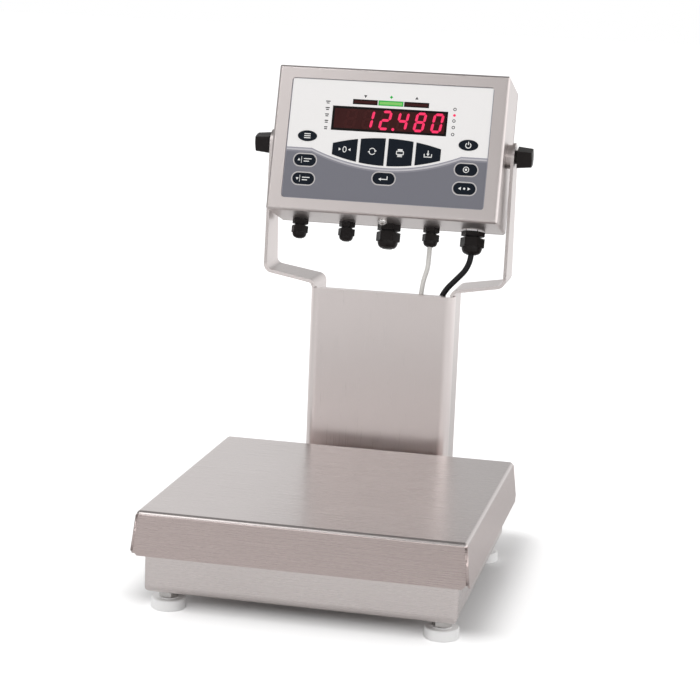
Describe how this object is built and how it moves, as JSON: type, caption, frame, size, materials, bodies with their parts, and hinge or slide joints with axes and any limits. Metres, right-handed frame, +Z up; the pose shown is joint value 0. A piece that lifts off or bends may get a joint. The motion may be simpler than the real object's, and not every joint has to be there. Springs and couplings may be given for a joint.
{
  "type": "checkweigher",
  "caption": "Bench checkweigher: stainless platter on a load cell base, column and yoke carrying a tilting keypad indicator on clamp knobs, with levelling feet and cables.",
  "frame": {"origin": "on the floor under the middle of the machine's outline", "axes": "+X to the right seen from the front, +Y to the back, +Z up"},
  "size_m": [0.3128, 0.5464, 0.4856],
  "materials": {
    "stainless_sheet": "directional brushed grain, satin",
    "bright_steel": "plain bright",
    "cell_aluminium": "machined",
    "white_nylon": "moulded satin",
    "black_nylon": "moulded satin",
    "black_rubber": "matte",
    "white_cable": "smooth jacket",
    "black_cable": "smooth jacket",
    "overlay_film": "fine satin film",
    "display_filter": "polished filter",
    "status_filter": "polished filter",
    "key_film": "fine satin film",
    "board_laminate": "solder mask",
    "supply_case": "satin",
    "brass_posts": "turned"
  },
  "bodies": {
    "base": {"base_tray": "stainless_sheet", "foot_bosses": "bright_steel", "foot_lock_nuts": "bright_steel", "load_cell": "cell_aluminium", "cell_lower_block": "cell_aluminium", "cell_lower_bolts": "bright_steel", "overload_stops": "bright_steel", "cable_grommet": "black_rubber", "column_bracket": "stainless_sheet", "bracket_bolts": "bright_steel", "column_crossbar": "stainless_sheet", "column_cover": "stainless_sheet", "yoke_arm_left": "stainless_sheet", "yoke_arm_right": "stainless_sheet", "cable_clips": "black_nylon", "load_cell_cable": "white_cable", "power_lead": "black_cable", "power_lead_coil": "black_cable", "power_plug": "black_cable"},
    "load_frame": {"spider": "stainless_sheet", "cell_upper_block": "cell_aluminium", "cell_upper_bolts": "bright_steel", "platter_cushions": "black_rubber"},
    "platter": {"platter": "stainless_sheet"},
    "indicator": {"indicator_shell": "stainless_sheet", "rear_cover": "stainless_sheet", "rear_gasket": "black_rubber", "rear_cover_screws": "bright_steel", "keypad_overlay": "overlay_film", "display_window": "display_filter", "status_windows": "status_filter", "display_board": "board_laminate", "main_board": "board_laminate", "power_supply": "supply_case", "board_standoffs": "brass_posts", "gland_bodies": "black_nylon", "gland_nuts": "black_nylon", "gland_lock_nuts": "black_nylon", "pivot_bosses": "bright_steel", "service_screw": "bright_steel"},
    "foot_front_left": {"foot_front_left": "white_nylon"},
    "foot_front_right": {"foot_front_right": "white_nylon"},
    "foot_rear_left": {"foot_rear_left": "white_nylon"},
    "foot_rear_right": {"foot_rear_right": "white_nylon"},
    "knob_stud_left": {"knob_stud_left": "bright_steel"},
    "knob_left": {"knob_left": "black_nylon"},
    "knob_stud_right": {"knob_stud_right": "bright_steel"},
    "knob_right": {"knob_right": "black_nylon"},
    "key_menu": {"key_menu": "key_film"},
    "key_power": {"key_power": "key_film"},
    "key_zero": {"key_zero": "key_film"},
    "key_units": {"key_units": "key_film"},
    "key_print": {"key_print": "key_film"},
    "key_tare": {"key_tare": "key_film"},
    "key_over": {"key_over": "key_film"},
    "key_under": {"key_under": "key_film"},
    "key_enter": {"key_enter": "key_film"},
    "key_target": {"key_target": "key_film"},
    "key_select": {"key_select": "key_film"}
  },
  "joints": [
    {"name": "weigh_deflection", "type": "slide", "parent": "base", "child": "load_frame", "axis": [0, 0, 1], "range_m": [-0.0005, 0], "stiffness_N_per_m": 500000, "deforming": ["load_cell"]},
    {"name": "platter_lift", "type": "slide", "parent": "load_frame", "child": "platter", "axis": [0, 0, 1], "range_m": [0, 0.06]},
    {"name": "indicator_tilt", "type": "hinge", "parent": "base", "child": "indicator", "pos_m": [0, 0.1568, 0.4033], "axis": [-1, 0, 0], "range_deg": [-25, 25], "deforming": ["load_cell_cable", "power_lead"]},
    {"name": "knob_left_screw", "type": "slide", "parent": "indicator", "child": "knob_stud_left", "axis": [-1, 0, 0], "range_m": [0, 0.0026]},
    {"name": "knob_left_turn", "type": "hinge", "parent": "knob_stud_left", "child": "knob_left", "pos_m": [-0.1288, 0.1568, 0.4033], "axis": [-1, 0, 0], "range_deg": [0, 720]},
    {"name": "knob_right_screw", "type": "slide", "parent": "indicator", "child": "knob_stud_right", "axis": [1, 0, 0], "range_m": [0, 0.0026]},
    {"name": "knob_right_turn", "type": "hinge", "parent": "knob_stud_right", "child": "knob_right", "pos_m": [0.1288, 0.1568, 0.4033], "axis": [1, 0, 0], "range_deg": [0, 720]},
    {"name": "foot_front_left_level", "type": "slide", "parent": "base", "child": "foot_front_left", "axis": [0, 0, -1], "range_m": [0, 0.008]},
    {"name": "foot_front_right_level", "type": "slide", "parent": "base", "child": "foot_front_right", "axis": [0, 0, -1], "range_m": [0, 0.008]},
    {"name": "foot_rear_left_level", "type": "slide", "parent": "base", "child": "foot_rear_left", "axis": [0, 0, -1], "range_m": [0, 0.008]},
    {"name": "foot_rear_right_level", "type": "slide", "parent": "base", "child": "foot_rear_right", "axis": [0, 0, -1], "range_m": [0, 0.008]},
    {"name": "key_menu_press", "type": "slide", "parent": "indicator", "child": "key_menu", "axis": [0, 0.9593, -0.2823], "range_m": [0, 0.0004], "stiffness_N_per_m": 4000},
    {"name": "key_power_press", "type": "slide", "parent": "indicator", "child": "key_power", "axis": [0, 0.9593, -0.2823], "range_m": [0, 0.0004], "stiffness_N_per_m": 4000},
    {"name": "key_zero_press", "type": "slide", "parent": "indicator", "child": "key_zero", "axis": [0, 0.9593, -0.2823], "range_m": [0, 0.0004], "stiffness_N_per_m": 4000},
    {"name": "key_units_press", "type": "slide", "parent": "indicator", "child": "key_units", "axis": [0, 0.9593, -0.2823], "range_m": [0, 0.0004], "stiffness_N_per_m": 4000},
    {"name": "key_print_press", "type": "slide", "parent": "indicator", "child": "key_print", "axis": [0, 0.9593, -0.2823], "range_m": [0, 0.0004], "stiffness_N_per_m": 4000},
    {"name": "key_tare_press", "type": "slide", "parent": "indicator", "child": "key_tare", "axis": [0, 0.9593, -0.2823], "range_m": [0, 0.0004], "stiffness_N_per_m": 4000},
    {"name": "key_over_press", "type": "slide", "parent": "indicator", "child": "key_over", "axis": [0, 0.9593, -0.2823], "range_m": [0, 0.0004], "stiffness_N_per_m": 4000},
    {"name": "key_under_press", "type": "slide", "parent": "indicator", "child": "key_under", "axis": [0, 0.9593, -0.2823], "range_m": [0, 0.0004], "stiffness_N_per_m": 4000},
    {"name": "key_enter_press", "type": "slide", "parent": "indicator", "child": "key_enter", "axis": [0, 0.9593, -0.2823], "range_m": [0, 0.0004], "stiffness_N_per_m": 4000},
    {"name": "key_target_press", "type": "slide", "parent": "indicator", "child": "key_target", "axis": [0, 0.9593, -0.2823], "range_m": [0, 0.0004], "stiffness_N_per_m": 4000},
    {"name": "key_select_press", "type": "slide", "parent": "indicator", "child": "key_select", "axis": [0, 0.9593, -0.2823], "range_m": [0, 0.0004], "stiffness_N_per_m": 4000}
  ],
  "couplings": [
    {"joint": "knob_left_screw", "follows": "knob_left_turn", "m_per_rad": 0.00019892},
    {"joint": "knob_right_screw", "follows": "knob_right_turn", "m_per_rad": 0.00019892}
  ]
}
